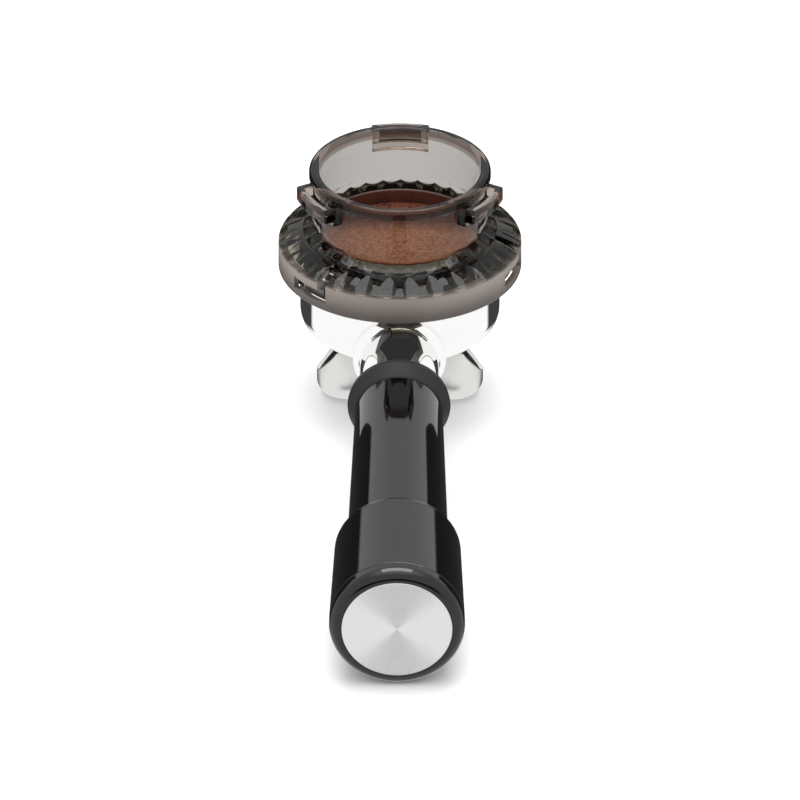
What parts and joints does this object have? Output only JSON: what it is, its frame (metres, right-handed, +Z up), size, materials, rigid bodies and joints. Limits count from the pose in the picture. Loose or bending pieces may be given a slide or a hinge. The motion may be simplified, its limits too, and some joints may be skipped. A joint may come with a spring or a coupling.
{
  "type": "espresso portafilter with dosing funnel",
  "caption": "Espresso portafilter with a bayonet bowl, twin spout, basket of ground coffee and black handle, under a see-through dosing funnel that twists and lifts off.",
  "frame": {"origin": "on the bowl's axis, at the foot of the spout", "axes": "+Z up the bowl's axis; the handle runs towards -Y; +X to the right seen from the handle's end"},
  "size_m": [0.0818, 0.2379, 0.0865],
  "materials": {
    "chrome": "polished",
    "satin_chrome": "satin",
    "basket_steel": "satin",
    "steel_wire": "satin",
    "coffee": "matte",
    "smoked_plastic": "gloss",
    "dark_plastic": "matte",
    "seal_rubber": "matte",
    "matte_black": "matte",
    "core_alloy": "satin",
    "gloss_black": "gloss",
    "spun_aluminium": "satin"
  },
  "bodies": {
    "portafilter": {"portafilter_bowl": "chrome", "bowl_liner": "dark_plastic", "spout_body": "satin_chrome", "spout_gasket": "seal_rubber", "spout_screw": "steel_wire", "handle_ring": "matte_black", "handle_core": "core_alloy", "handle_sleeve": "gloss_black", "handle_grip": "gloss_black", "handle_end_cap": "gloss_black", "end_disc_pad": "seal_rubber", "handle_end_disc": "spun_aluminium", "tie_rod": "steel_wire", "flat_washer": "steel_wire", "spring_washer": "steel_wire", "tie_nut": "steel_wire"},
    "spring": {"basket_spring": "steel_wire"},
    "basket": {"filter_basket": "basket_steel", "coffee_grounds": "coffee"},
    "funnel": {"funnel": "smoked_plastic"}
  },
  "joints": [
    {"name": "lock_turn", "type": "hinge", "parent": "portafilter", "child": "spring", "pos_m": [0, 0, 0.0512], "axis": [0, 0, 1], "range_deg": [-28, 0]},
    {"name": "basket_lift", "type": "slide", "parent": "spring", "child": "basket", "axis": [0, 0, 1], "range_m": [0, 0.035]},
    {"name": "funnel_lift", "type": "slide", "parent": "basket", "child": "funnel", "axis": [0, 0, 1], "range_m": [0, 0.04]}
  ]
}
